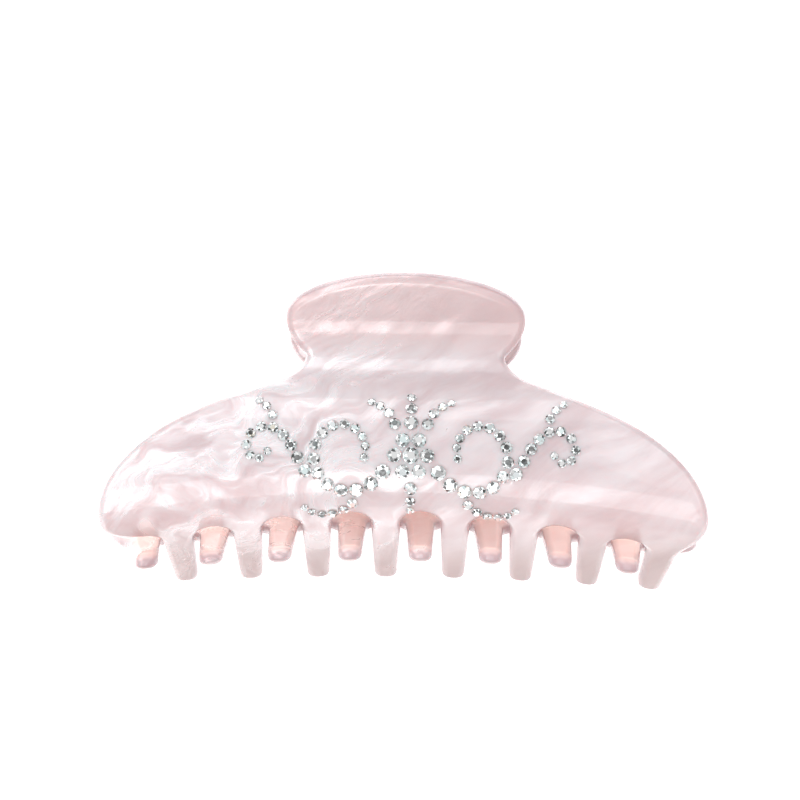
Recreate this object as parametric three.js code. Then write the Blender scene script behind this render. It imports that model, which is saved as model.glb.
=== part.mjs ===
// A claw clip for hair, closed and lying on its back: two bent acetate jaws with interleaved teeth,
// four hinge knuckles, a steel pin, a torsion spring and an ornament of flatback crystals on the front jaw.
// Millimetres. +X runs along the hinge, +Y points from the teeth to the handles, +Z is up, out of the front.
import * as THREE from 'three';
import { mergeVertices } from 'three/addons/utils/BufferGeometryUtils.js';

// Driving dimensions.
const halfWidth = 54.2;         // hinge centre to wing tip
const sheetThickness = 3;
const neckDepth = 6.6;          // hinge axis to the middle of the sheet at the neck
const handleHalfWidth = 21.55;
const handleMiddle = 6.3;       // widest place of the handle, above the neck
const handleTop = 15.3;         // top edge of the handle, above the neck, along the sheet
const toothCount = 8;
const toothPitch = 12.4;
const toothRow = toothPitch / 4; // the row is off centre, so that the turned jaw's teeth fall between
const toothRootWidth = 5.3;
const toothTipWidth = 4.1;
const tipLean = 0.9;            // the outermost tips lean in by this
const archTop = 32.9;           // top of a middle gap between teeth, below the neck, along the sheet
const archTopFall = 0.0017;     // outer gaps are lower by this times x squared
const toothEnd = 57.5;          // tip of a middle tooth, below the neck, along the sheet
const toothEndRise = 0.0019;    // outer teeth are shorter by this times x squared
const wrapCurve = 0.00095;      // the belly falls back by this times x squared
const droopCurve = 0.0016;      // and its lower edge drops by this times x squared
const pinRadius = 0.75;
const knuckleRadius = 2.8;
const knuckleInner = [4.3, 8.2];   // x range of a half's inner knuckle
const knuckleOuter = [-12.4, -8.5]; // and of its outer one
const assemblyGap = 0.3;
const wireRadius = 0.45;
const coilRadius = 2.4;
const coilHalfLength = 3.2;
const smallestCrystal = 1.85;   // smaller stones aren't separate solids here

const degree = Math.PI / 180;
const bendStep = 13 * degree;   // one facet of a bend turns by about this
const wrapStep = 12;            // width of a facet across the jaw

// The middle of the bent sheet, seen from the side, as arcs that leave the neck.
const handleBends = [
  { length: 9.5 * 41 * degree, turn: 41 * degree },
  { length: 9, turn: 0 },
];
const bellyBends = [
  { length: 9.5 * 50 * degree, turn: 50 * degree },
  { length: 12.5 * 50 * degree, turn: -50 * degree },
  { length: 2, turn: 0 },
  { length: 11.6 * 69 * degree, turn: -69 * degree },
  { length: 24, turn: 0 },
];

const pearlAcetate = new THREE.MeshStandardMaterial({ color: 0xeed9dc, roughness: 0.16, metalness: 0 });
const knuckleAcetate = new THREE.MeshStandardMaterial({ color: 0xe8cfd0, roughness: 0.25, metalness: 0 });
const steel = new THREE.MeshStandardMaterial({ color: 0xb9b6ae, roughness: 0.28, metalness: 1 });
const crystalGlass = new THREE.MeshStandardMaterial({ color: 0xe4e8ea, roughness: 0.05, metalness: 0.3 });

// Follows bends from the neck for a distance; side is 1 up the handle and -1 down the belly.
function follow(bends, distance, side) {
  let [depth, height, heading] = [neckDepth, 0, 0];
  let left = distance;
  for (const bend of bends) {
    const length = Math.min(left, bend.length);
    const turn = bend.turn * length / bend.length;
    const chord = turn ? length * Math.sin(turn / 2) / (turn / 2) : length;
    depth += chord * Math.sin(heading + turn / 2);
    height += side * chord * Math.cos(heading + turn / 2);
    heading += turn;
    left -= length;
  }
  return { depth, height, outward: Math.cos(heading), upward: -side * Math.sin(heading) };
}

// Place of a point of the flat blank once bent: x across, y above the neck, offset out from the middle.
function bent(x, y, offset) {
  const side = y > 0 ? 1 : -1;
  const middle = follow(y > 0 ? handleBends : bellyBends, Math.abs(y), side);
  const belly = THREE.MathUtils.smoothstep(-y, 3, 26);
  return new THREE.Vector3(
    x,
    middle.height + middle.upward * offset - droopCurve * x * x * belly,
    middle.depth + middle.outward * offset - wrapCurve * x * x * belly,
  );
}

// Points of a cubic curve given by its start, two controls and end.
function bezier(from, control1, control2, to, steps) {
  const points = [from, control1, control2, to].map((point) => new THREE.Vector2(...point));
  return new THREE.CubicBezierCurve(...points).getPoints(steps);
}

// Points of part of an ellipse, anticlockwise unless it ends at a smaller angle.
function arc(x, y, radiusX, radiusY, from, to, steps) {
  return new THREE.EllipseCurve(x, y, radiusX, radiusY, from, to, to < from).getPoints(steps);
}

// One tooth of the flat blank, from the side of its left arch to the side of its right one.
function toothPoints(index) {
  const root = toothRow + (index - (toothCount - 1) / 2) * toothPitch;
  const tip = root - tipLean * (root / (toothPitch * (toothCount - 1) / 2)) ** 5;
  const end = -(toothEnd - toothEndRise * root * root);
  const round = toothTipWidth * 0.35;
  const corner = toothTipWidth / 2 - round;
  return [
    ...arc(tip - corner, end + round, round, round, Math.PI, 1.5 * Math.PI, 2),
    ...arc(tip + corner, end + round, round, round, 1.5 * Math.PI, 2 * Math.PI, 2),
  ];
}

// The gap to the right of a tooth is a round arch.
function archPoints(index) {
  const middle = toothRow + (index + 1 - toothCount / 2) * toothPitch;
  const radius = (toothPitch - toothRootWidth) / 2;
  const top = archTop + archTopFall * middle * middle;
  return arc(middle, -(top + radius), radius, radius, Math.PI, 0, 6);
}

// Outline of the flat blank, anticlockwise from the right of the handle.
function blankOutline() {
  const shoulder = [[18.6, -3], [24.1, -13.6], [halfWidth, -13.9], [halfWidth, -28.7]];
  const neck = [[18.5, -0.1], [17.2, -1], [17.7, -1.3], [18.6, -3]];
  const grip = [[handleHalfWidth, handleMiddle], [handleHalfWidth, 3.2], [20, 1.3], [18.5, -0.1]];
  const mirrored = (points) => points.map(([x, y]) => [-x, y]);
  const firstEdge = toothRow - (toothCount - 1) / 2 * toothPitch - toothRootWidth / 2;
  const lastEdge = toothRow + (toothCount - 1) / 2 * toothPitch + toothRootWidth / 2;
  const leftWing = [[-halfWidth, -28.7], [-halfWidth, -32.8], [-51.5, -34.7], [-46.8, -35.4]];
  const leftRoot = [[-46.8, -35.4], [-44.8, -35.6], [firstEdge - 0.2, -35.8], [firstEdge - 0.1, -40]];
  const rightWing = [[lastEdge - 0.3, -42], [48.6, -36.7], [halfWidth, -32.6], [halfWidth, -28.7]];
  const teeth = Array.from({ length: toothCount }, (_, index) => [
    ...toothPoints(index),
    ...(index < toothCount - 1 ? archPoints(index) : []),
  ]).flat();
  return [
    ...arc(0, handleMiddle, handleHalfWidth, handleTop - handleMiddle, 0, Math.PI, 16),
    ...bezier(...mirrored(grip), 3),
    ...bezier(...mirrored(neck), 3),
    ...bezier(...mirrored(shoulder), 7),
    ...bezier(...leftWing, 4),
    ...bezier(...leftRoot, 3),
    ...teeth,
    ...bezier(...rightWing, 5),
    ...bezier(...shoulder, 7).reverse(),
    ...bezier(...neck, 3).reverse(),
    ...bezier(...grip, 3).reverse(),
  ];
}

// Splits every triangle that crosses the plane where the named coordinate equals level.
function sliced(triangles, axis, level) {
  const touch = 1e-6;
  const part = (triangle, side) => triangle.flatMap((point, index) => {
    const next = triangle[(index + 1) % 3];
    const [here, there] = [side * (point[axis] - level), side * (next[axis] - level)];
    const kept = here > -touch ? [point] : [];
    if ((here > touch && there < -touch) || (here < -touch && there > touch)) {
      const [low, high] = point[axis] < next[axis] ? [point, next] : [next, point];
      kept.push(low.clone().lerp(high, (level - low[axis]) / (high[axis] - low[axis])));
    }
    return kept;
  });
  return triangles.flatMap((triangle) => {
    const sides = triangle.map((point) => point[axis] - level);
    if (Math.max(...sides) < touch || Math.min(...sides) > -touch) return [triangle];
    return [part(triangle, 1), part(triangle, -1)].flatMap((points) => (
      points.slice(2).map((point, index) => [points[0], points[index + 1], point])
    ));
  });
}

// A closed geometry with shared corners and no empty triangles.
function closed(geometry) {
  geometry.deleteAttribute('normal');
  geometry.deleteAttribute('uv');
  const merged = mergeVertices(geometry, 1e-4);
  const index = Array.from(merged.index.array);
  const kept = [];
  for (let i = 0; i < index.length; i += 3) {
    const [a, b, c] = index.slice(i, i + 3);
    if (a !== b && b !== c && c !== a) kept.push(a, b, c);
  }
  merged.setIndex(kept);
  merged.computeVertexNormals();
  return merged;
}

// Places along the sheet, above and below the neck, where a facet of the bent jaw ends.
function bendLevels() {
  const along = (bends, side) => {
    let start = 0;
    return bends.flatMap(({ length, turn }) => {
      const pieces = Math.max(1, Math.round(Math.abs(turn) / bendStep));
      const levels = Array.from({ length: pieces }, (_, piece) => side * (start + length * piece / pieces));
      start += length;
      return levels;
    });
  };
  return [...along(handleBends, 1).slice(1), ...along(bellyBends, -1)];
}

// Edges that only one triangle has, as a map from each corner to the next one along the border.
function borderOf(triangles) {
  const name = (point) => `${point.x.toFixed(8)} ${point.y.toFixed(8)}`;
  const edges = new Map();
  for (const triangle of triangles) {
    triangle.forEach((from, corner) => {
      const to = triangle[(corner + 1) % 3];
      if (!edges.delete(`${name(to)} ${name(from)}`)) edges.set(`${name(from)} ${name(to)}`, { from, to });
    });
  }
  return new Map([...edges.values()].map(({ from, to }) => [name(from), { from, to, next: name(to) }]));
}

function straight(before, point, after) {
  const turn = (point.x - before.x) * (after.y - point.y) - (point.y - before.y) * (after.x - point.x);
  return Math.abs(turn) < 1e-7;
}

// Border loops of the triangles in one facet, each filled again with as few triangles as it needs.
function refilled(triangles) {
  const border = borderOf(triangles);
  const faces = [];
  while (border.size) {
    const loop = [];
    let [name] = border.keys();
    while (border.has(name)) {
      const edge = border.get(name);
      border.delete(name);
      loop.push(edge.from);
      name = edge.next;
    }
    const corners = loop.filter((point, index) => (
      !straight(loop.at(index - 1), point, loop[(index + 1) % loop.length])
    ));
    for (const [a, b, c] of THREE.ShapeUtils.triangulateShape(corners, [])) {
      faces.push([corners[a], corners[b], corners[c]]);
    }
  }
  return faces;
}

// The flat blank as triangles, divided into facets so that it can bend.
function blankTriangles() {
  const blank = new THREE.ShapeGeometry(new THREE.Shape(blankOutline()));
  const corners = Array.from(blank.index.array, (corner) => (
    new THREE.Vector3().fromBufferAttribute(blank.getAttribute('position'), corner)
  ));
  const columns = Array.from({ length: 8 }, (_, column) => (column - 3.5) * wrapStep);
  const rows = bendLevels();
  let triangles = corners.flatMap((corner, index) => (
    index % 3 ? [] : [corners.slice(index, index + 3)]
  ));
  for (const row of rows) triangles = sliced(triangles, 'y', row);
  for (const column of columns) triangles = sliced(triangles, 'x', column);
  const facets = Map.groupBy(triangles, ([a, b, c]) => {
    const column = columns.filter((level) => level < (a.x + b.x + c.x) / 3).length;
    const row = rows.filter((level) => level < (a.y + b.y + c.y) / 3).length;
    return `${column} ${row}`;
  });
  return [...facets.values()].flatMap(refilled);
}

// The jaw: the blank's outer face, its inner face and the wall between their borders, all bent.
function jawGeometry() {
  const triangles = blankTriangles();
  const outer = ({ x, y }) => bent(x, y, sheetThickness / 2);
  const inner = ({ x, y }) => bent(x, y, -sheetThickness / 2);
  const faces = triangles.flatMap(([a, b, c]) => (
    [outer(a), outer(b), outer(c), inner(c), inner(b), inner(a)]
  ));
  const wall = [...borderOf(triangles).values()].flatMap(({ from, to }) => (
    [inner(from), inner(to), outer(to), inner(from), outer(to), outer(from)]
  ));
  return closed(new THREE.BufferGeometry().setFromPoints([...faces, ...wall]));
}

// A knuckle's side view: a ring round the pin that widens to a foot against the inside of the neck.
function knuckleGeometry([from, to]) {
  const bendCentre = neckDepth + 9.5;
  const footRadius = 9.5 + sheetThickness / 2 + assemblyGap;
  const footAngle = 22 * degree;
  const shape = new THREE.Shape([
    ...arc(0, 0, knuckleRadius, knuckleRadius, 60 * degree, 300 * degree, 10),
    ...arc(bendCentre, 0, footRadius, footRadius, Math.PI + footAngle, Math.PI - footAngle, 4),
  ]);
  const boreRadius = pinRadius + assemblyGap;
  shape.holes.push(new THREE.Path(arc(0, 0, boreRadius, boreRadius, 0, 2 * Math.PI, 10).slice(1)));
  const geometry = new THREE.ExtrudeGeometry(shape, { depth: to - from, bevelEnabled: false });
  // The side view's x is depth and its y is height; the extrusion runs along the hinge.
  geometry.applyMatrix4(new THREE.Matrix4().makeBasis(
    new THREE.Vector3(0, 0, 1),
    new THREE.Vector3(0, 1, 0),
    new THREE.Vector3(-1, 0, 0),
  ));
  geometry.translate(to, 0, 0);
  return closed(geometry);
}

function pinGeometry() {
  const [headRadius, headThickness] = [1.7, 0.7];
  const head = knuckleOuter[0] - assemblyGap;
  const profile = [
    [0, head - headThickness],
    [headRadius, head - headThickness],
    [headRadius, head],
    [pinRadius, head],
    [pinRadius, -head],
    [headRadius, -head],
    [headRadius, headThickness - head],
    [0, headThickness - head],
  ];
  const geometry = new THREE.LatheGeometry(profile.map((point) => new THREE.Vector2(...point)), 12);
  geometry.rotateZ(-Math.PI / 2);
  return closed(geometry);
}

// One wire: a foot along the front handle, a leg, the coil, and the same leg and foot behind, turned round.
function springGeometry() {
  const legSlope = 28.5 * degree;
  const [legLength, footLength, turns, perTurn] = [9, 3.6, 5, 12];
  const point = (x, depth, height) => new THREE.Vector3(x, height, depth);
  const start = [coilRadius * Math.cos(legSlope), -coilRadius * Math.sin(legSlope)];
  const end = [start[0] + legLength * Math.sin(legSlope), start[1] + legLength * Math.cos(legSlope)];
  const frontLeg = [
    point(-coilHalfLength - footLength, ...end),
    point(-coilHalfLength - 0.7, ...end),
    point(-coilHalfLength - 0.1, end[0] - 0.25, end[1] - 0.4),
    point(-coilHalfLength, (start[0] + end[0]) / 2, (start[1] + end[1]) / 2),
  ];
  const sweep = 2 * Math.PI * turns + Math.PI - 2 * legSlope;
  const count = Math.round(sweep / (2 * Math.PI) * perTurn);
  const coil = Array.from({ length: count + 1 }, (_, index) => {
    const angle = -legSlope - sweep * index / count;
    const x = coilHalfLength * (2 * index / count - 1);
    return point(x, coilRadius * Math.cos(angle), coilRadius * Math.sin(angle));
  });
  const rearLeg = frontLeg.map(({ x, y, z }) => new THREE.Vector3(-x, y, -z)).reverse();
  const path = new THREE.CatmullRomCurve3([...frontLeg, ...coil, ...rearLeg]);
  const section = new THREE.Shape(arc(0, 0, wireRadius, wireRadius, 0, 2 * Math.PI, 6).slice(1));
  return closed(new THREE.ExtrudeGeometry(section, { steps: 96, extrudePath: path }));
}

// A flatback stone standing on z = 0: girdle, sloping crown and flat table.
function crystalGeometry(diameter) {
  const radius = diameter / 2;
  const [girdle, table, height] = [0.2 * radius, 0.55 * radius, 0.62 * radius];
  const profile = [[0, 0], [radius, 0], [radius, girdle], [table, height], [0, height]];
  const geometry = new THREE.LatheGeometry(profile.map((point) => new THREE.Vector2(...point)), 8);
  geometry.rotateX(Math.PI / 2);
  return closed(geometry);
}

// Stones laid edge to edge on the flat blank. The line turns by curl degrees a millimetre, plus tighten
// degrees a millimetre for every millimetre laid.
function strand(x, y, heading, curl, tighten, diameters) {
  const spacing = 0.18;
  let laid = 0;
  return diameters.map((diameter, index) => {
    if (index) {
      const step = (diameter + diameters[index - 1]) / 2 + spacing;
      x += step * Math.cos(heading * degree);
      y += step * Math.sin(heading * degree);
      laid += step;
      heading += (curl + tighten * laid) * step;
    }
    return { x, y, diameter, heading };
  });
}

// A place beside a stone, at a distance from its middle, towards a turn off its strand's heading.
function beside({ x, y, heading }, turn, distance) {
  const angle = (heading + turn) * degree;
  return [x + distance * Math.cos(angle), y + distance * Math.sin(angle)];
}

// Sizes graded from the first to the last.
function graded(count, first, last) {
  return Array.from({ length: count }, (_, index) => first + (last - first) * index / (count - 1));
}

// A symmetrical ornament: a rosette with a plume above and a drop below, and scrolls to each side.
function crystalOrnament() {
  const [middleX, middleY] = [1.2, -22.5];
  const rosette = [
    { x: 0, y: 0, diameter: 2.9 },
    ...Array.from({ length: 6 }, (_, index) => ({
      x: 2.9 * Math.cos(index * 60 * degree),
      y: 2.9 * Math.sin(index * 60 * degree),
      diameter: 2.5,
    })),
  ];
  const scroll = strand(4.9, -2.6, -42, 6.5, 0.25, graded(15, 2.7, 1.5));
  const outer = strand(...beside(scroll[5], -58, 2.35), scroll[5].heading - 14, 5.5, -1.9,
    graded(11, 2.3, 1.45));
  const under = strand(...beside(scroll[2], -75, 2.5), scroll[2].heading - 40, 7, 0.6, graded(6, 2, 1.45));
  const sprig = strand(...beside(outer[4], 80, 2.1), outer[4].heading + 48, -9, 0, graded(3, 1.8, 1.45));
  const feather = strand(2.9, 5.2, 60, -9, 0, graded(4, 2.1, 1.45));
  const right = [...scroll, ...outer, ...under, ...sprig, ...feather];
  const left = right.map((stone) => ({ ...stone, x: -stone.x }));
  const above = strand(0, 5.4, 90, 0, 0, graded(3, 2.5, 1.7));
  const below = strand(0, -5.3, -90, 0, 0, graded(3, 2.3, 1.5));
  return [...rosette, ...right, ...left, ...above, ...below].map(({ x, y, diameter }) => (
    { x: x + middleX, y: y + middleY, diameter }
  ));
}

// Sets a stone on the outside of the front jaw, square to the surface.
function seatCrystal(mesh, { x, y }) {
  const height = sheetThickness / 2 + assemblyGap / 2;
  const step = 0.1;
  const across = bent(x + step, y, height).sub(bent(x - step, y, height)).normalize();
  const along = bent(x, y + step, height).sub(bent(x, y - step, height)).normalize();
  const outward = new THREE.Vector3().crossVectors(across, along);
  const square = new THREE.Vector3().crossVectors(outward, across);
  mesh.setRotationFromMatrix(new THREE.Matrix4().makeBasis(across, square, outward));
  mesh.position.copy(bent(x, y, height));
}

function named(name, geometry, material) {
  const mesh = new THREE.Mesh(geometry, material);
  mesh.name = name;
  return mesh;
}

// One half of the clip with its knuckles; the rear half is the same, turned half round the Y axis.
function half(name) {
  const group = new THREE.Group();
  group.add(named(`${name}_jaw`, jawGeometry(), pearlAcetate));
  group.add(named(`${name}_outer_knuckle`, knuckleGeometry(knuckleOuter), knuckleAcetate));
  group.add(named(`${name}_inner_knuckle`, knuckleGeometry(knuckleInner), knuckleAcetate));
  return group;
}

const clip = new THREE.Group();
const front = half('front');
crystalOrnament().filter(({ diameter }) => diameter >= smallestCrystal).forEach((stone, index) => {
  const name = `crystal_${String(index + 1).padStart(2, '0')}`;
  const crystal = named(name, crystalGeometry(stone.diameter), crystalGlass);
  seatCrystal(crystal, stone);
  front.add(crystal);
});
const rear = half('rear');
rear.rotation.y = Math.PI;
clip.add(front, rear);
clip.add(named('hinge_pin', pinGeometry(), steel));
clip.add(named('torsion_spring', springGeometry(), steel));

// The origin is under the middle of the clip, on the plane it lies on.
const box = new THREE.Box3().setFromObject(clip);
clip.position.set(0, -(box.min.y + box.max.y) / 2, -box.min.z);

export default clip;
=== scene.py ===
"""A pearly pink acetate claw clip with an ornament of crystals, closed, lying face up on a pale floor."""
import math
import random

import bpy
import numpy as np
from mathutils import Matrix, Vector
from mathutils.geometry import delaunay_2d_cdt


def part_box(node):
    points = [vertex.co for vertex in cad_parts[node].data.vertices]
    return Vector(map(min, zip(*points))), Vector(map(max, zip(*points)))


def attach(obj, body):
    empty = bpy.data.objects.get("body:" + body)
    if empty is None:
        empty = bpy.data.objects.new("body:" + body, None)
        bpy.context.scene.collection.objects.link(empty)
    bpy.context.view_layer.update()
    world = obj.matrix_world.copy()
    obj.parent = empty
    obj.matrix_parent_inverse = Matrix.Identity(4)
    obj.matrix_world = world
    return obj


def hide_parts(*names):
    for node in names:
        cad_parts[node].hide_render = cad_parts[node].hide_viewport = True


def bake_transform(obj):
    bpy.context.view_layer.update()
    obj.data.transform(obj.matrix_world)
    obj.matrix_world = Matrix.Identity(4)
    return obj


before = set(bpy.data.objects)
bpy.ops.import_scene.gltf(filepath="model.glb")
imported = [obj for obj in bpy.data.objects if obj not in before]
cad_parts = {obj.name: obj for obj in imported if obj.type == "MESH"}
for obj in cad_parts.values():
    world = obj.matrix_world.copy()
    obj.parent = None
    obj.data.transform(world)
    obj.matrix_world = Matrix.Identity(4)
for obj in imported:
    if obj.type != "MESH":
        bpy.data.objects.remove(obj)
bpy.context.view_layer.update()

MM = 0.001
HINGE = sum(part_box("hinge_pin"), Vector()) / 2
HALF_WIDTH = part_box("front_jaw")[1].x / MM

# The flat blank of a jaw, in millimetres from the middle of its neck line.
SHEET = 3.0
NECK_DEPTH = 6.6
HANDLE_HALF_WIDTH = 21.55
HANDLE_MIDDLE = 6.3
HANDLE_TOP = 15.3
TOOTH_COUNT = 8
TOOTH_PITCH = 12.4
TOOTH_ROW = TOOTH_PITCH / 4
TOOTH_ROOT = 5.3
TOOTH_TIP = 4.1
TIP_LEAN = 0.9
ARCH_TOP = 32.9
ARCH_TOP_FALL = 0.0017
TOOTH_END = 57.5
TOOTH_END_RISE = 0.0019
# How far the belly wraps back and droops at x, as multiples of x squared.
WRAP = 0.00095
DROOP = 0.0016
# The cut edge's rounding, as steps of (in from the outline, down from the face).
EDGE_STEPS = [(0, 1.15), (0.04, 0.86), (0.15, 0.62), (0.34, 0.43), (0.98, 0.08), (1.15, 0.02), (1.32, 0)]
OUTLINE_SPACING = 0.45
FILL_SPACING = 0.95
FILL_MARGIN = 0.55

# Knuckles, as radii and as reaches along the pin, then the pin and the spring.
KNUCKLE_RADIUS = 2.8
KNUCKLE_BORE = 1.05
KNUCKLE_INNER = (4.3, 8.2)
KNUCKLE_OUTER = (-12.4, -8.5)
PIN_RADIUS = 0.75
PIN_HEAD_RADIUS = 1.7
PIN_HEAD_LENGTH = 0.7
WIRE_RADIUS = 0.45
COIL_RADIUS = 2.4
COIL_HALF_LENGTH = 3.2
COIL_TURNS = 5
LEG_SLOPE = math.radians(28.5)
LEG_LENGTH = 9.0
LEG_CORNER = 0.8
FOOT_LENGTH = 3.6

# The ornament's middle on the blank, the space between stones, and the smallest with a solid of its own.
ORNAMENT_MIDDLE = (1.2, -22.5)
STONE_GAP = 0.18
SMALLEST_SOLID_STONE = 1.85

# The sheet's bends from the neck, each as (length, turn), up the handle and down the belly.
NECK_BEND = 9.5
HANDLE_BENDS = [
    (NECK_BEND * math.radians(41), math.radians(41)),
    (9.0, 0.0),
]
BELLY_BENDS = [
    (NECK_BEND * math.radians(50), math.radians(50)),
    (12.5 * math.radians(50), math.radians(-50)),
    (2.0, 0.0),
    (11.6 * math.radians(69), math.radians(-69)),
    (24.0, 0.0),
]

# The acetate's troughs and crests on the belly, handles and teeth, inside, and along the cut edges; the
# handles' and teeth's are darkened with painted shade, and the inside's is a lighter salmon of painted
# bounce light.
BELLY = ((0.635, 0.515, 0.535, 1), (0.77, 0.73, 0.75, 1))
HANDLE_PINK_AND_SHADE = ((0.66, 0.505, 0.51, 1), (0.73, 0.60, 0.605, 1))
TEETH_PINK_AND_SHADE = ((0.38, 0.265, 0.26, 1), (0.45, 0.335, 0.33, 1))
INSIDE_PAINTED_BOUNCE = ((0.84, 0.60, 0.55, 1), (0.88, 0.72, 0.68, 1))
EDGE = ((0.50, 0.365, 0.395, 1), (0.60, 0.48, 0.50, 1))


# ---- shape of a jaw ----

def follow(bends, distance, side):
    """Depth, height and outward normal of the sheet's middle at distances from the neck."""
    depth = np.full_like(distance, NECK_DEPTH)
    height = np.zeros_like(distance)
    heading = np.zeros_like(distance)
    left = distance.copy()
    for length, turn in bends:
        run = np.clip(left, 0, length)
        half = turn * run / length / 2
        chord = run * np.sinc(half / np.pi)
        depth += chord * np.sin(heading + half)
        height += side * chord * np.cos(heading + half)
        heading += 2 * half
        left -= run
    return depth, height, np.cos(heading), -side * np.sin(heading)


def bent(x, y, offset, turned=False):
    """Row-frame places of blank points, offset out from the sheet's middle; turned is the rear half."""
    x, y, offset = (np.atleast_1d(np.asarray(v, float)) for v in (x, y, offset))
    up = follow(HANDLE_BENDS, np.maximum(y, 0), 1)
    down = follow(BELLY_BENDS, np.maximum(-y, 0), -1)
    depth, height, outward, upward = (np.where(y > 0, a, b) for a, b in zip(up, down))
    t = np.clip((-y - 3) / 23, 0, 1)
    belly = t * t * (3 - 2 * t)
    depth = depth + outward * offset - WRAP * x * x * belly
    height = height + upward * offset - DROOP * x * x * belly
    way = -1 if turned else 1
    return np.column_stack([way * x, height, way * depth]) * MM + np.array(HINGE)


def bezier(start, control1, control2, end, steps=40):
    t = np.linspace(0, 1, steps)[:, None]
    a, b, c, d = (np.array(p, float) for p in (start, control1, control2, end))
    return (1 - t) ** 3 * a + 3 * t * (1 - t) ** 2 * b + 3 * t * t * (1 - t) * c + t ** 3 * d


def arc(x, y, radius_x, radius_y, start, end, steps=24):
    a = np.radians(np.linspace(start, end, steps))
    return np.column_stack([x + radius_x * np.cos(a), y + radius_y * np.sin(a)])


def resampled(points, spacing):
    """The closed outline with points at equal spacing."""
    closed = np.vstack([points, points[:1]])
    steps = np.linalg.norm(np.diff(closed, axis=0), axis=1)
    closed = closed[np.r_[True, steps > 1e-6]]
    along = np.r_[0, np.cumsum(np.linalg.norm(np.diff(closed, axis=0), axis=1))]
    places = np.linspace(0, along[-1], round(along[-1] / spacing), endpoint=False)
    return np.column_stack([np.interp(places, along, closed[:, i]) for i in (0, 1)])


def softened(points, passes):
    """The closed outline with its corners eased, a little more with each pass."""
    for _ in range(passes):
        points = (np.roll(points, 1, 0) + 2 * points + np.roll(points, -1, 0)) / 4
    return points


def tooth_points(index):
    """The two rounded corners of a tooth's tip; the outer teeth lean towards the middle."""
    root = TOOTH_ROW + (index - (TOOTH_COUNT - 1) / 2) * TOOTH_PITCH
    tip = root - TIP_LEAN * (root / (TOOTH_PITCH * (TOOTH_COUNT - 1) / 2)) ** 5
    end = -(TOOTH_END - TOOTH_END_RISE * root * root)
    rounding = TOOTH_TIP * 0.35
    corner = TOOTH_TIP / 2 - rounding
    return [
        arc(tip - corner, end + rounding, rounding, rounding, 180, 270),
        arc(tip + corner, end + rounding, rounding, rounding, 270, 360),
    ]


def blank_outline():
    """Anticlockwise outline of the flat blank, from the right of the handle."""
    shoulder = [(18.6, -3), (24.1, -13.6), (HALF_WIDTH, -13.9), (HALF_WIDTH, -28.7)]
    neck = [(18.5, -0.1), (17.2, -1), (17.7, -1.3), (18.6, -3)]
    grip = [(HANDLE_HALF_WIDTH, HANDLE_MIDDLE), (HANDLE_HALF_WIDTH, 3.2), (20, 1.3), (18.5, -0.1)]
    half_row = (TOOTH_COUNT - 1) / 2 * TOOTH_PITCH
    first_edge = TOOTH_ROW - half_row - TOOTH_ROOT / 2
    last_edge = TOOTH_ROW + half_row + TOOTH_ROOT / 2
    left_wing = [(-HALF_WIDTH, -28.7), (-HALF_WIDTH, -32.8), (-51.5, -34.7), (-46.8, -35.4)]
    left_root = [(-46.8, -35.4), (-44.8, -35.6), (first_edge - 0.2, -35.8), (first_edge - 0.1, -40)]
    right_wing = [(last_edge - 0.3, -42), (48.6, -36.7), (HALF_WIDTH, -32.6), (HALF_WIDTH, -28.7)]
    arch_radius = (TOOTH_PITCH - TOOTH_ROOT) / 2
    pieces = [arc(0, HANDLE_MIDDLE, HANDLE_HALF_WIDTH, HANDLE_TOP - HANDLE_MIDDLE, 0, 180, 80)]
    pieces += [bezier(*points) * (-1, 1) for points in (grip, neck, shoulder)]
    pieces += [bezier(*left_wing), bezier(*left_root)]
    for index in range(TOOTH_COUNT):
        pieces += tooth_points(index)
        if index < TOOTH_COUNT - 1:
            middle = TOOTH_ROW + (index + 1 - TOOTH_COUNT / 2) * TOOTH_PITCH
            top = ARCH_TOP + ARCH_TOP_FALL * middle * middle
            pieces.append(arc(middle, -(top + arch_radius), arch_radius, arch_radius, 180, 0))
    pieces.append(bezier(*right_wing))
    pieces += [bezier(*points)[::-1] for points in (shoulder, neck, grip)]
    return softened(resampled(np.vstack(pieces), OUTLINE_SPACING), 3)


def inward_of(outline):
    """Unit vectors that point into a closed anticlockwise outline, one for each of its points."""
    tangent = np.roll(outline, -1, 0) - np.roll(outline, 1, 0)
    inward = np.column_stack([-tangent[:, 1], tangent[:, 0]])
    return inward / np.linalg.norm(inward, axis=1)[:, None]


def inside_points(loop, spacing, margin):
    """A triangular grid of points inside a closed outline, at least margin from it."""
    low, high = loop.min(0), loop.max(0)
    rows = np.arange(low[1], high[1], spacing * math.sqrt(3) / 2)
    grid = np.array([
        (x + (spacing / 2 if row % 2 else 0), y)
        for row, y in enumerate(rows)
        for x in np.arange(low[0], high[0], spacing)
    ])
    after = np.roll(loop, -1, 0)
    edge = after - loop
    kept = []
    for point in grid:
        to = point - loop
        along = np.clip((to * edge).sum(1) / (edge * edge).sum(1), 0, 1)
        if np.min(np.linalg.norm(to - along[:, None] * edge, axis=1)) < margin:
            continue
        crosses = (loop[:, 1] > point[1]) != (after[:, 1] > point[1])
        at = loop[crosses, 0] + (point[1] - loop[crosses, 1]) / edge[crosses, 1] * edge[crosses, 0]
        if np.count_nonzero(at > point[0]) % 2:
            kept.append(point)
    return np.array(kept)


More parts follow.
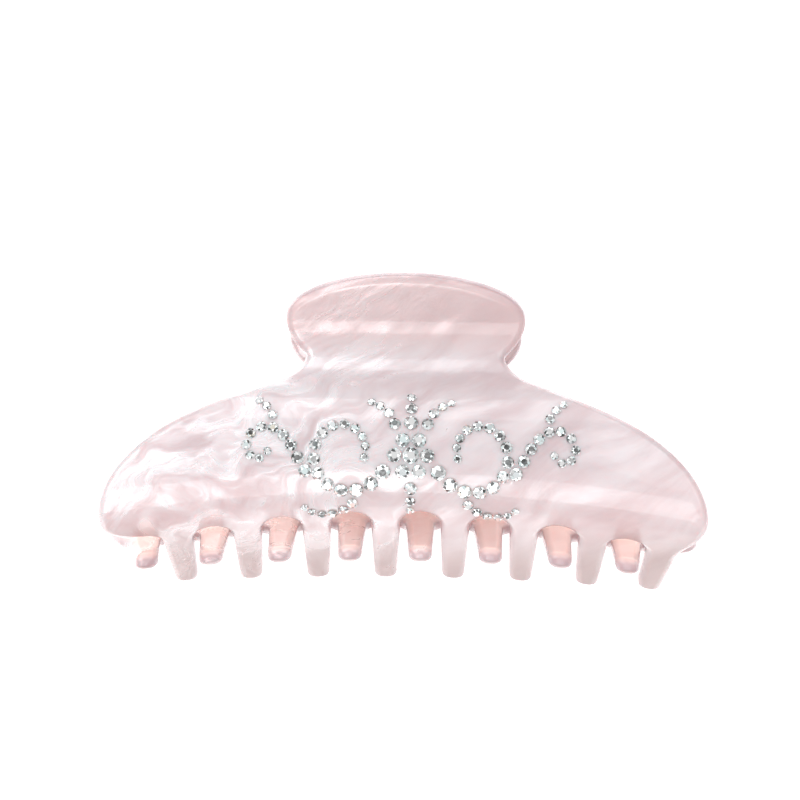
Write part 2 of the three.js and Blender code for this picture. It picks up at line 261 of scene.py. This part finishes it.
def rounded_blank():
    """The flat blank with bevelled and rounded edges: points (x, y, offset) and faces."""
    outline = blank_outline()
    count = len(outline)
    inward = inward_of(outline)
    rings = [outline + inward * inset for inset, _ in EDGE_STEPS]
    offsets = [SHEET / 2 - drop for _, drop in EDGE_STEPS]
    flat = inside_points(rings[-1], FILL_SPACING, FILL_MARGIN)
    corners = [Vector(p) for p in np.vstack([rings[-1], flat])]
    _, _, faces, origins, _, _ = delaunay_2d_cdt(corners, [], [list(range(count))], 1, 1e-5)
    # The rings come first in the face's points, so that the fill joins on to the last of them.
    base = (len(rings) - 1) * count
    ids = [base + origin[0] for origin in origins]
    side_points = np.vstack([*rings, flat])
    side_offsets = np.concatenate([np.repeat(offsets, count), np.full(len(flat), SHEET / 2)])
    side_faces = [tuple(ids[i] for i in face) for face in faces]
    for ring in range(len(rings) - 1):
        for k in range(count):
            after = (k + 1) % count
            a, b = ring * count + k, ring * count + after
            side_faces.append((a, b, b + count, a + count))
    total = len(side_points)
    upper = np.column_stack([side_points, side_offsets])
    lower = np.column_stack([side_points, -side_offsets])
    wall = [(total + k, total + (k + 1) % count, (k + 1) % count, k) for k in range(count)]
    under = [tuple(total + i for i in reversed(face)) for face in side_faces]
    return np.vstack([upper, lower]), side_faces + under + wall


def new_object(name, points, faces, materials, smooth=True):
    mesh = bpy.data.meshes.new(name)
    mesh.from_pydata([tuple(p) for p in points], [], [tuple(f) for f in faces])
    mesh.validate()
    if smooth:
        mesh.shade_smooth()
    for material in materials:
        mesh.materials.append(material)
    piece = bpy.data.objects.new(name, mesh)
    bpy.context.collection.objects.link(piece)
    return piece


def finished(piece, body, slot_name, *nodes):
    """Says which body the piece moves with and hides the CAD nodes it stands for; slot_name is not used."""
    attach(piece, body)
    if nodes:
        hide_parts(*nodes)


# ---- materials ----

class Shader:
    """A material's node tree, with short calls to add and join nodes."""

    def __init__(self, name):
        self.material = bpy.data.materials.new(name)
        self.material.use_nodes = True
        self.tree = self.material.node_tree
        self.surface = self.tree.nodes["Principled BSDF"]

    def add(self, kind, **inputs):
        node = self.tree.nodes.new(kind)
        for key, value in inputs.items():
            self.put(node.inputs[key.replace("_", " ")], value)
        return node

    def put(self, socket, value):
        if isinstance(value, bpy.types.NodeSocket):
            self.tree.links.new(value, socket)
        else:
            socket.default_value = value

    def set(self, **inputs):
        for key, value in inputs.items():
            self.put(self.surface.inputs[key.replace("_", " ")], value)

    def math(self, operation, a, b=0.0, clamp=False):
        node = self.tree.nodes.new("ShaderNodeMath")
        node.operation = operation
        node.use_clamp = clamp
        self.put(node.inputs[0], a)
        self.put(node.inputs[1], b)
        return node.outputs[0]

    def vector(self, operation, a, b):
        node = self.tree.nodes.new("ShaderNodeVectorMath")
        node.operation = operation
        self.put(node.inputs[0], a)
        self.put(node.inputs[1], b)
        return node.outputs[0]

    def scaled(self, vector, factor):
        node = self.tree.nodes.new("ShaderNodeVectorMath")
        node.operation = "SCALE"
        self.put(node.inputs[0], vector)
        self.put(node.inputs["Scale"], factor)
        return node.outputs[0]

    def mix(self, factor, a, b):
        node = self.tree.nodes.new("ShaderNodeMix")
        node.data_type = "RGBA"
        self.put(node.inputs["Factor"], factor)
        self.put(node.inputs[6], a)
        self.put(node.inputs[7], b)
        return node.outputs[2]

    def attribute(self, name):
        node = self.add("ShaderNodeAttribute")
        node.attribute_name = name
        return node.outputs["Fac"]

    def span(self, value, low, high, to_low=0.0, to_high=1.0):
        node = self.add("ShaderNodeMapRange", Value=value)
        node.interpolation_type = "SMOOTHSTEP"
        for key, number in (("From Min", low), ("From Max", high), ("To Min", to_low), ("To Max", to_high)):
            node.inputs[key].default_value = number
        return node.outputs["Result"]

    def noise(self, where, scale, detail=4.0, roughness=0.55, distortion=0.0):
        return self.add("ShaderNodeTexNoise", Vector=where, Scale=scale, Detail=detail,
                        Roughness=roughness, Distortion=distortion)


def pearl_acetate():
    """Pale pink cellulose acetate with folds of mother-of-pearl under a polished surface."""
    s = Shader("pearl_acetate")
    where = s.add("ShaderNodeTexCoord").outputs["Object"]
    place = s.add("ShaderNodeSeparateXYZ", Vector=where)
    # Slow eddies bend the flow; they and the folds' contrast are strong on the left and weak on the right,
    # the stronger contrast on the left partly the pearl's own and partly a painted highlight.
    stir = s.span(place.outputs["X"], -0.030, 0.020, 0.034, 0.008)
    stir = s.math("MULTIPLY", stir, s.span(place.outputs["Y"], 0.0, 0.012, 1.0, 0.4))
    fold_and_sheen_contrast = s.span(place.outputs["X"], -0.025, 0.020, 1.05, 0.50)
    eddy = s.vector("SUBTRACT", s.noise(where, 62, 2.0, 0.5).outputs["Color"], (0.5, 0.5, 0.5))
    flow = s.add("ShaderNodeMapping", Vector=s.vector("ADD", where, s.scaled(eddy, stir)))
    flow.vector_type = "TEXTURE"
    flow.inputs["Rotation"].default_value = (0, 0, math.radians(32))
    flow.inputs["Scale"].default_value = (1.6, 0.42, 1.3)
    flow = flow.outputs["Vector"]
    satin = s.noise(flow, 84, 4.0, 0.6, 0.0).outputs["Fac"]
    fine = s.noise(flow, 260, 3.0, 0.55, 0.0).outputs["Fac"]
    ridge = s.math("ABSOLUTE", s.math("SUBTRACT", s.noise(flow, 90, 3.0, 0.5, 0.0).outputs["Fac"], 0.5))
    crest = s.math("POWER", s.math("SUBTRACT", 1.0, s.math("MULTIPLY", ridge, 8.0), True), 1.6)
    silk = s.math("ADD", s.span(satin, 0.30, 0.70, -0.6, 0.6), s.math("MULTIPLY", crest, 0.25))
    silk = s.math("ADD", silk, s.math("MULTIPLY", s.math("SUBTRACT", fine, 0.5), 0.8))
    # The sheet is milky and lighter on the left and rosy and darker on the right: partly its own colour,
    # partly painted light falling from the left.
    milk_and_left_light = s.span(place.outputs["X"], -0.030, 0.030, 0.56, 0.30)
    pearl = s.math("ADD", milk_and_left_light, s.math("MULTIPLY", silk, fold_and_sheen_contrast), True)

    def tint(pair):
        return s.mix(pearl, *pair)

    # Handles and teeth are clearer, so that their pink is deeper, and they are further darkened with
    # painted shade; inner faces low in the clip get a lighter salmon colour and a warm glow, painted bounce
    # light.
    handle = s.span(place.outputs["Y"], HINGE.y - 3 * MM, HINGE.y + 4 * MM)
    belly_down = s.math("SUBTRACT", 1.0, s.span(place.outputs["Y"], -0.014, -0.004))
    teeth = s.math("SUBTRACT", 1.0, s.span(place.outputs["Y"], -0.024, -0.017))
    # Mask of the painted bounce light: the inner faces, low in the clip.
    inside = s.math("MULTIPLY", s.attribute("inside"), belly_down)
    colour = s.mix(teeth, s.mix(handle, tint(BELLY), tint(HANDLE_PINK_AND_SHADE)), tint(TEETH_PINK_AND_SHADE))
    colour = s.mix(s.attribute("edge"), s.mix(inside, colour, tint(INSIDE_PAINTED_BOUNCE)), tint(EDGE))
    # The inner faces glow faintly with painted light, though they are no lamp.
    painted_glow = s.math("MULTIPLY", inside, 0.30)
    s.set(Base_Color=colour, Emission_Color=(1.0, 0.68, 0.61, 1), Emission_Strength=painted_glow)
    s.set(Metallic=s.span(pearl, 0.2, 1.0, 0.02, 0.26), Roughness=s.span(pearl, 0, 1, 0.44, 0.26))
    s.set(Transmission_Weight=s.span(pearl, 0, 1, 0.26, 0.16), Subsurface_Weight=0.6)
    s.set(Subsurface_Scale=2.5 * MM, Subsurface_Radius=(1.0, 0.5, 0.45))
    s.set(IOR=1.48, Coat_Weight=1.0, Coat_Roughness=0.03, Coat_IOR=1.5)
    relief = s.math("MULTIPLY", s.math("ADD", satin, s.math("MULTIPLY", fine, 0.35)), fold_and_sheen_contrast)
    ripple = s.add("ShaderNodeBump", Strength=0.5, Distance=0.7 * MM, Height=relief)
    s.set(Normal=ripple.outputs["Normal"])
    return s.material


def knuckle_acetate():
    """The same acetate, cut from a clearer and warmer piece."""
    s = Shader("knuckle_acetate")
    where = s.add("ShaderNodeTexCoord").outputs["Object"]
    cloud = s.noise(where, 260, 4.0).outputs["Fac"]
    s.set(Base_Color=s.mix(cloud, (0.74, 0.52, 0.46, 1), (0.86, 0.70, 0.62, 1)))
    s.set(Roughness=0.25, Subsurface_Weight=0.3, Subsurface_Scale=1.5 * MM)
    s.set(Coat_Weight=0.4, Coat_Roughness=0.08)
    return s.material


def hinge_steel():
    """Bright drawn wire, with fine grain along the pin."""
    s = Shader("hinge_steel")
    where = s.add("ShaderNodeTexCoord").outputs["Object"]
    stretched = s.vector("MULTIPLY", where, (1.0, 14.0, 14.0))
    drawn = s.noise(stretched, 900, 3.0).outputs["Fac"]
    s.set(Base_Color=s.mix(drawn, (0.50, 0.49, 0.46, 1), (0.74, 0.73, 0.70, 1)))
    s.set(Metallic=1.0, Roughness=s.span(drawn, 0.3, 0.7, 0.16, 0.32))
    s.set(Normal=s.add("ShaderNodeBump", Strength=0.15, Distance=0.02 * MM, Height=drawn).outputs["Normal"])
    return s.material


def crystal_glass():
    """Foil-backed glass: each facet's colour is a painted reflection, from near black to white."""
    s = Shader("crystal")
    tint = s.add("ShaderNodeAttribute")
    tint.attribute_name = "facet"
    where = s.add("ShaderNodeTexCoord").outputs["Object"]
    haze = s.noise(where, 1500, 2.0).outputs["Fac"]
    dull = s.span(haze, 0.35, 0.75, 0.0, 0.25)
    s.set(Base_Color=s.mix(dull, tint.outputs["Color"], (0.9, 0.93, 0.95, 1)))
    s.set(Metallic=0.85, Roughness=s.span(haze, 0.3, 0.7, 0.03, 0.09), IOR=1.6)
    s.set(Coat_Weight=1.0, Coat_Roughness=0.01, Coat_IOR=1.6)
    return s.material


def crystal_foil():
    """The metal foil on a stone's back."""
    s = Shader("crystal_foil")
    where = s.add("ShaderNodeTexCoord").outputs["Object"]
    grain = s.noise(where, 3000, 2.0).outputs["Fac"]
    s.set(Base_Color=s.mix(grain, (0.34, 0.29, 0.23, 1), (0.58, 0.52, 0.44, 1)))
    s.set(Metallic=1.0, Roughness=0.35)
    return s.material


# ---- jaws ----

def build_jaws(material):
    points, faces = rounded_blank()
    outward = points[:, 2] / (SHEET / 2)
    for body, turned in (("front_half", False), ("rear_half", True)):
        node = "rear_jaw" if turned else "front_jaw"
        places = bent(points[:, 0], points[:, 1], points[:, 2], turned)
        jaw = new_object(f"{node}_polished", places, faces, [material])
        # How far a point is towards the inner face, and how near the middle of the cut edge.
        inside = jaw.data.attributes.new("inside", "FLOAT", "POINT")
        inside.data.foreach_set("value", np.clip(-outward, 0, 1))
        edge = jaw.data.attributes.new("edge", "FLOAT", "POINT")
        edge.data.foreach_set("value", np.clip(1.35 - np.abs(outward) * 1.4, 0, 1))
        finished(jaw, body, "pearl_acetate", node)


# ---- crystals ----

def strand(x, y, heading, curl, tighten, diameters):
    """Stones laid edge to edge; the line turns by curl degrees a millimetre, and tighten more for each."""
    stones = []
    laid = 0.0
    for index, diameter in enumerate(diameters):
        if index:
            step = (diameter + diameters[index - 1]) / 2 + STONE_GAP
            x += step * math.cos(math.radians(heading))
            y += step * math.sin(math.radians(heading))
            laid += step
            heading += (curl + tighten * laid) * step
        stones.append((x, y, diameter, heading))
    return stones


def beside(stone, turn, distance):
    """A place beside a stone, at a distance from its middle, towards a turn off its strand's heading."""
    x, y, _, heading = stone
    angle = math.radians(heading + turn)
    return x + distance * math.cos(angle), y + distance * math.sin(angle)


def graded(count, first, last):
    """Diameters in equal steps from the first to the last."""
    return [first + (last - first) * index / (count - 1) for index in range(count)]


def crystal_ornament():
    """A symmetrical ornament: a rosette with a plume above and a drop below, and scrolls to each side."""
    rosette = [(0, 0, 2.9, 0)]
    for index in range(6):
        angle = math.radians(60 * index)
        rosette.append((2.9 * math.cos(angle), 2.9 * math.sin(angle), 2.5, 0))
    scroll = strand(4.9, -2.6, -42, 6.5, 0.25, graded(15, 2.7, 1.5))
    outer = strand(*beside(scroll[5], -58, 2.35), scroll[5][3] - 14, 5.5, -1.9, graded(11, 2.3, 1.45))
    under = strand(*beside(scroll[2], -75, 2.5), scroll[2][3] - 40, 7, 0.6, graded(6, 2, 1.45))
    sprig = strand(*beside(outer[4], 80, 2.1), outer[4][3] + 48, -9, 0, graded(3, 1.8, 1.45))
    feather = strand(2.9, 5.2, 60, -9, 0, graded(4, 2.1, 1.45))
    right = scroll + outer + under + sprig + feather
    left = [(-x, y, diameter, heading) for x, y, diameter, heading in right]
    above = strand(0, 5.4, 90, 0, 0, graded(3, 2.5, 1.7))
    below = strand(0, -5.3, -90, 0, 0, graded(3, 2.3, 1.5))
    middle_x, middle_y = ORNAMENT_MIDDLE
    stones = rosette + right + left + above + below
    return [(x + middle_x, y + middle_y, diameter) for x, y, diameter, _ in stones]


def ring_points(count, radius, z, phase):
    """Points evenly round the z axis, the first at phase degrees."""
    angles = [math.radians(phase + 360 / count * i) for i in range(count)]
    return [(radius * math.cos(angle), radius * math.sin(angle), z) for angle in angles]


def stone_points(diameter):
    """A flatback brilliant standing on z = 0, in millimetres: points, foil faces and glass facets."""
    r = diameter / 2
    back = ring_points(16, 0.86 * r, 0.0, 0)
    foil_top = ring_points(16, r, 0.17 * r, 0)
    girdle = ring_points(16, r, 0.25 * r, 0)
    kite = ring_points(8, 0.78 * r, 0.47 * r, 22.5)
    table = ring_points(8, 0.50 * r, 0.64 * r, 0)
    points = back + foil_top + girdle + kite + table
    # Where each ring starts: back, foil's top, girdle, kite and table.
    b, f, g, k, t = 0, 16, 32, 48, 56
    foil = [tuple(b + i for i in reversed(range(16)))]
    foil += [(b + i, b + (i + 1) % 16, f + (i + 1) % 16, f + i) for i in range(16)]
    glass = [(f + i, f + (i + 1) % 16, g + (i + 1) % 16, g + i) for i in range(16)]
    glass.append(tuple(t + i for i in range(8)))
    for i in range(8):
        before, after = (i - 1) % 8, (i + 1) % 8
        glass.append((t + i, k + i, t + after))
        glass.append((t + i, k + before, g + 2 * i, k + i))
        glass.append((k + i, g + 2 * i, g + 2 * i + 1))
        glass.append((k + i, g + 2 * i + 1, g + (2 * i + 2) % 16))
    return points, foil, glass


def painted_facet_reflection(draw, warmth):
    """One facet's painted reflection: mostly bright silver, some dark, a few with a painted cool or warm
    flash.
    """
    level = draw.choice((0.04, 0.22, 0.5, 0.72, 0.88, 0.95, 1.0))
    cool = (0.86, 1.0, 1.0)
    warm = (1.0, 0.93, 0.80)
    colour = draw.choice((cool, (1, 1, 1), (0.93, 0.98, 1.0), warm if warmth else (1, 1, 1)))
    return (*(level * c for c in colour), 1.0)


def seat(x, y, height):
    """Matrix that stands a piece on the outside of the front jaw, square to its surface."""
    step = 0.1

    def place(px, py):
        return Vector(bent(px, py, SHEET / 2 + height)[0])

    across = (place(x + step, y) - place(x - step, y)).normalized()
    along = (place(x, y + step) - place(x, y - step)).normalized()
    outward = across.cross(along).normalized()
    turn = Matrix((across, outward.cross(across), outward)).transposed()
    return Matrix.Translation(place(x, y)) @ turn.to_4x4()


def stone_object(name, places, faces, facet_reflections, is_foil, glass, foil):
    """Flat-faced stones; the attribute facet holds each facet's painted reflection."""
    stone = new_object(name, places, faces, [glass, foil], smooth=False)
    colours = stone.data.attributes.new("facet", "FLOAT_COLOR", "CORNER")
    flat = [c for face, tint in zip(faces, facet_reflections) for _ in face for c in tint]
    colours.data.foreach_set("color", flat)
    stone.data.polygons.foreach_set("material_index", [int(f) for f in is_foil])
    return stone


def build_crystals(glass, foil):
    """One piece for each stone that has a solid, and one for all the smaller stones together."""
    draw = random.Random(11)
    small_points, small_faces, small_reflections, small_foil = [], [], [], []
    number = 0
    for x, y, diameter in crystal_ornament():
        spin = draw.uniform(0, 360)
        points, foil_faces, glass_faces = stone_points(diameter)
        matrix = seat(x, y, 0.0) @ Matrix.Rotation(math.radians(spin), 4, "Z") @ Matrix.Scale(MM, 4)
        places = [matrix @ Vector(p) for p in points]
        warmth = draw.random() < 0.2
        # Each glass facet gets a painted reflection; the foil faces a plain grey.
        facet_reflections = [(0.5, 0.5, 0.5, 1.0)] * len(foil_faces) + [painted_facet_reflection(draw, warmth) for _ in glass_faces]
        faces = foil_faces + glass_faces
        is_foil = [True] * len(foil_faces) + [False] * len(glass_faces)
        if diameter >= SMALLEST_SOLID_STONE:
            number += 1
            stone = stone_object(f"stone_{number:02d}", places, faces, facet_reflections, is_foil, glass, foil)
            finished(stone, "front_half", "crystal", f"crystal_{number:02d}")
            continue
        first = len(small_points)
        small_points += places
        small_faces += [tuple(first + i for i in face) for face in faces]
        small_reflections += facet_reflections
        small_foil += is_foil
    small = stone_object("small_stones", small_points, small_faces, small_reflections, small_foil, glass, foil)
    finished(small, "front_half", "crystal")


# ---- hinge ----

def lathe(name, profile, material, count=40):
    """A piece turned about the hinge axis; the profile is (radius, x) in millimetres from the middle."""
    points = []
    for radius, x in profile:
        for i in range(count):
            a = 2 * math.pi * i / count
            points.append(HINGE + Vector((x, radius * math.cos(a), radius * math.sin(a))) * MM)
    faces = []
    for ring in range(len(profile) - 1):
        for i in range(count):
            a, b = ring * count + i, ring * count + (i + 1) % count
            faces.append((a, b, b + count, a + count))
    last = (len(profile) - 1) * count
    faces += [tuple(reversed(range(count))), tuple(last + i for i in range(count))]
    return new_object(name, points, faces, [material])


def build_pin(material):
    """A pin with a domed head at each end."""
    end = (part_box("hinge_pin")[1].x - HINGE.x) / MM
    neck = end - PIN_HEAD_LENGTH
    half = [(0.02, end)]
    for angle in np.radians(range(15, 91, 15)):
        half.append((PIN_HEAD_RADIUS * math.sin(angle), end - PIN_HEAD_LENGTH * (1 - math.cos(angle))))
    half += [(PIN_HEAD_RADIUS * 0.97, neck), (PIN_RADIUS + 0.08, neck), (PIN_RADIUS, neck - 0.1)]
    profile = [(radius, -x) for radius, x in half] + [(radius, x) for radius, x in reversed(half)]
    pin = lathe("hinge_pin_turned", profile, material)
    finished(pin, "rear_half", "hinge_steel", "hinge_pin")


def knuckle_outline():
    """Side view of a knuckle as (depth, height): a ring round the pin with a foot on the neck's inside."""
    bend_centre = NECK_DEPTH + NECK_BEND
    foot_radius = NECK_BEND + SHEET / 2 + 0.02
    round_pin = arc(0, 0, KNUCKLE_RADIUS, KNUCKLE_RADIUS, 60, 300, 40)
    foot = arc(bend_centre, 0, foot_radius, foot_radius, 202, 158, 20)
    return softened(resampled(np.vstack([round_pin, foot]), 0.3), 2)


def build_knuckle(name, way, low, high, material):
    """A knuckle with rounded edges and a chamfered bore; way is 1 in front and -1 behind."""
    outline = knuckle_outline()
    count = len(outline)
    inward = inward_of(outline)
    spoke = outline / np.linalg.norm(outline, axis=1)[:, None]
    round_edge, chamfer = 0.4, 0.15
    half = [(spoke * KNUCKLE_BORE, low + chamfer), (spoke * (KNUCKLE_BORE + chamfer), low)]
    for a in np.radians([0, 22, 45, 68, 90]):
        eased = outline + inward * round_edge * (1 - math.sin(a))
        half.append((eased, low + round_edge * (1 - math.cos(a))))
    loops = half + [(loop, low + high - x) for loop, x in reversed(half)]
    places = [(way * x, height, way * depth) for loop, x in loops for depth, height in loop]
    points = [HINGE + Vector(place) * MM for place in places]
    faces = []
    for index in range(len(loops)):
        here = index * count
        there = (index + 1) % len(loops) * count
        for k in range(count):
            after = (k + 1) % count
            faces.append((here + k, there + k, there + after, here + after))
    return new_object(name, points, faces, [material])


def build_knuckles(material):
    for half, way in (("front", 1), ("rear", -1)):
        for place, (low, high) in (("outer", KNUCKLE_OUTER), ("inner", KNUCKLE_INNER)):
            name = f"{half}_{place}_knuckle"
            knuckle = build_knuckle(f"{name}_bored", way, low, high, material)
            finished(knuckle, f"{half}_half", "knuckle_acetate", name)


def spring_route():
    """The spring wire's middle, in millimetres from the hinge: foot, leg, coil, leg, foot."""
    slant = np.array([math.sin(LEG_SLOPE), math.cos(LEG_SLOPE)])
    start = COIL_RADIUS * np.array([math.cos(LEG_SLOPE), -math.sin(LEG_SLOPE)])
    end = start + LEG_LENGTH * slant
    before_corner = np.array([-COIL_HALF_LENGTH - LEG_CORNER, *end])
    corner = np.array([-COIL_HALF_LENGTH, *end])
    after_corner = np.array([-COIL_HALF_LENGTH, *(end - LEG_CORNER * slant)])
    leg = [(-COIL_HALF_LENGTH - FOOT_LENGTH, *end), tuple(before_corner)]
    for t in np.linspace(0, 1, 7)[1:-1]:
        leg.append(tuple((1 - t) ** 2 * before_corner + 2 * t * (1 - t) * corner + t * t * after_corner))
    for t in np.linspace(LEG_CORNER / LEG_LENGTH, 1, 8):
        leg.append((-COIL_HALF_LENGTH, *(end + (start - end) * t)))
    sweep = 2 * math.pi * COIL_TURNS + math.pi - 2 * LEG_SLOPE
    count = round(sweep / (2 * math.pi) * 32)
    coil = []
    for i in range(1, count):
        angle = -LEG_SLOPE - sweep * i / count
        along = COIL_HALF_LENGTH * (2 * i / count - 1)
        coil.append((along, COIL_RADIUS * math.cos(angle), COIL_RADIUS * math.sin(angle)))
    other_leg = [(-x, -depth, height) for x, depth, height in reversed(leg)]
    return [Vector((x, height, depth)) for x, depth, height in leg + coil + other_leg]


def tube(name, route, radius, material, sides=14):
    """A round wire along a route, with flat ends."""
    points, faces = [], []
    up = Vector((0, 0, 1))
    for index, place in enumerate(route):
        ahead = route[min(index + 1, len(route) - 1)] - route[max(index - 1, 0)]
        ahead.normalize()
        up = (up - ahead * up.dot(ahead)).normalized()
        side = ahead.cross(up)
        for k in range(sides):
            a = 2 * math.pi * k / sides
            points.append(HINGE + (place + (up * math.cos(a) + side * math.sin(a)) * radius) * MM)
    for index in range(len(route) - 1):
        for k in range(sides):
            a, b = index * sides + k, index * sides + (k + 1) % sides
            faces.append((a, a + sides, b + sides, b))
    last = (len(route) - 1) * sides
    faces += [tuple(range(sides)), tuple(last + k for k in reversed(range(sides)))]
    return new_object(name, points, faces, [material])


def build_spring(material):
    """One wire: a leg on each side of the coil, built in place of the CAD spring."""
    wire = tube("torsion_spring_wire", spring_route(), WIRE_RADIUS, material)
    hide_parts("torsion_spring")
    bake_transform(wire)


# ---- floor, light and camera ----

def build_stage():
    """A pale floor, lit a little from itself as a light table is."""
    size = 4.0
    corners = [(-size, -size, 0), (size, -size, 0), (size, size, 0), (-size, size, 0)]
    s = Shader("floor")
    where = s.add("ShaderNodeTexCoord").outputs["Object"]
    grain = s.noise(where, 40, 3.0).outputs["Fac"]
    s.set(Base_Color=s.mix(grain, (0.93, 0.93, 0.93, 1), (0.96, 0.96, 0.96, 1)), Roughness=0.8)
    s.set(Emission_Color=(1, 1, 1, 1), Emission_Strength=0.45)
    floor = new_object("floor", corners, [(0, 1, 2, 3)], [s.material])
    floor.location.z = -0.05 * MM


def area_light(name, place, width, height, power):
    """A soft box aimed at the clip."""
    light = bpy.data.lights.new(name, "AREA")
    light.shape = "RECTANGLE"
    light.size = width
    light.size_y = height
    light.energy = power
    lamp = bpy.data.objects.new(name, light)
    lamp.location = place
    lamp.rotation_mode = "QUATERNION"
    lamp.rotation_quaternion = (Vector((0, 0, 0.015)) - Vector(place)).to_track_quat("-Z", "Y")
    bpy.context.collection.objects.link(lamp)


def build_light():
    area_light("key", (-0.42, 0.06, 0.58), 0.60, 0.60, 2.1)
    area_light("fill", (0.40, 0.04, 0.60), 0.60, 0.60, 1.1)
    area_light("behind_handle", (-0.08, 0.52, 0.45), 0.60, 0.40, 1.0)
    area_light("front", (-0.10, -0.50, 0.50), 0.50, 0.40, 1.2)
    world = bpy.data.worlds.new("studio")
    world.use_nodes = True
    background = world.node_tree.nodes["Background"]
    background.inputs["Color"].default_value = (1, 1, 1, 1)
    background.inputs["Strength"].default_value = 0.74
    bpy.context.scene.world = world
    bpy.context.scene.view_settings.view_transform = "Standard"


def build_camera():
    """Almost straight above the clip, leaning a little towards its teeth."""
    sideways, lean, roll = math.radians(0.2), math.radians(9.8), math.radians(0.85)
    target = HINGE + Vector((-0.9, -7.7, 0)) * MM
    height = math.cos(lean)
    back = Vector((math.sin(sideways) * height, -math.sin(lean), math.cos(sideways) * height))
    right = Vector((math.cos(sideways), 0, -math.sin(sideways)))
    up = back.cross(right)
    level_right, level_up = right, up
    right = level_right * math.cos(roll) + level_up * math.sin(roll)
    up = level_up * math.cos(roll) - level_right * math.sin(roll)
    camera = bpy.data.cameras.new("camera")
    camera.sensor_width = 36
    camera.lens = 131.1
    holder = bpy.data.objects.new("camera", camera)
    holder.location = target + back * 0.5305
    holder.rotation_mode = "QUATERNION"
    holder.rotation_quaternion = Matrix((right, up, back)).transposed().to_quaternion()
    bpy.context.collection.objects.link(holder)
    bpy.context.scene.camera = holder


build_jaws(pearl_acetate())
build_crystals(crystal_glass(), crystal_foil())
steel = hinge_steel()
build_pin(steel)
build_knuckles(knuckle_acetate())
build_spring(steel)
build_stage()
build_light()
build_camera()
